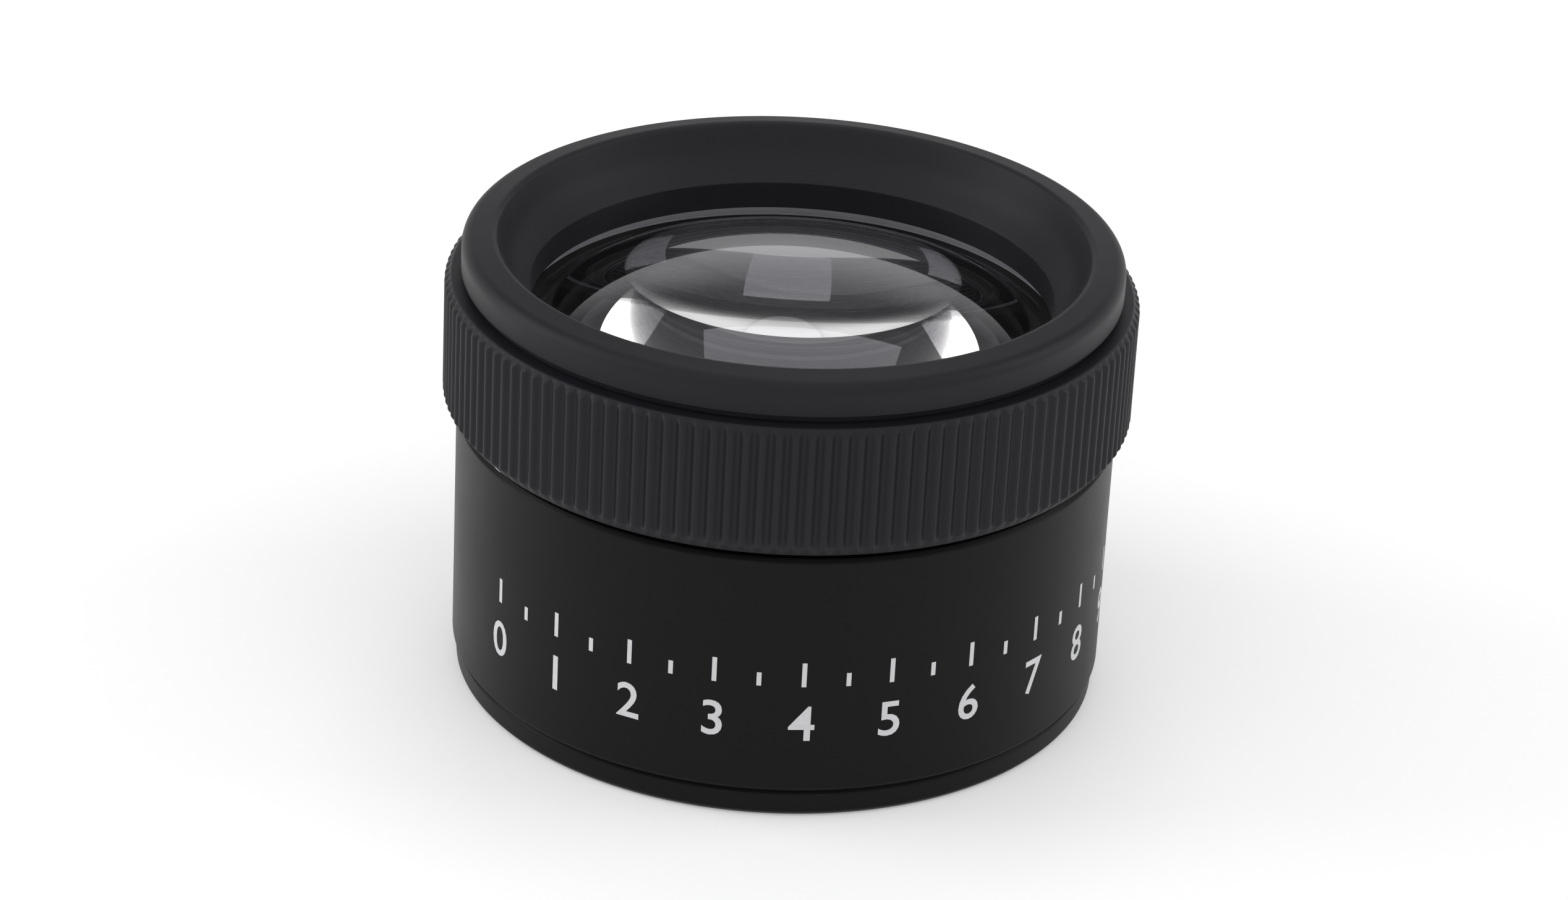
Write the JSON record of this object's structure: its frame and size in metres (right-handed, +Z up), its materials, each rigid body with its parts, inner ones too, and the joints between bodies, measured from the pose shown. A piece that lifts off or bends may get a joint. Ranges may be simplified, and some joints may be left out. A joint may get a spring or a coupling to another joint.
{
  "type": "loupe magnifier",
  "caption": "Round black stand loupe: a ribbed focus ring under a funnel-shaped eyepiece rim carries domed lenses and turns on a thread in a short barrel with a foot ring.",
  "frame": {"origin": "centre of the face that it stands on", "axes": "+Z up along the optical axis, towards the eye; the front is -Y"},
  "size_m": [0.048, 0.048, 0.0326],
  "materials": {
    "black_anodised": "satin black anodised",
    "black_rubber": "matte black rubber",
    "lens_glass": "clear polished glass"
  },
  "bodies": {
    "barrel_body": {"barrel": "black_anodised", "base_ring": "black_anodised"},
    "thread_slider": {"damping_ring": "black_rubber"},
    "lens_head": {"lens_tube": "black_anodised", "focus_ring": "black_anodised", "eyepiece_rim": "black_anodised", "upper_lens": "lens_glass", "lens_spacer": "black_anodised", "lower_lens": "lens_glass", "lens_retainer": "black_anodised"}
  },
  "joints": [
    {"name": "focus_travel", "type": "slide", "parent": "barrel_body", "child": "thread_slider", "axis": [0, 0, 1], "range_m": [0, 0.004]},
    {"name": "focus_turn", "type": "hinge", "parent": "thread_slider", "child": "lens_head", "pos_m": [0, 0, 0.0249], "axis": [0, 0, 1], "range_deg": [0, 300]}
  ],
  "couplings": [
    {"joint": "focus_travel", "follows": "focus_turn", "m_per_rad": 0.00076394}
  ]
}
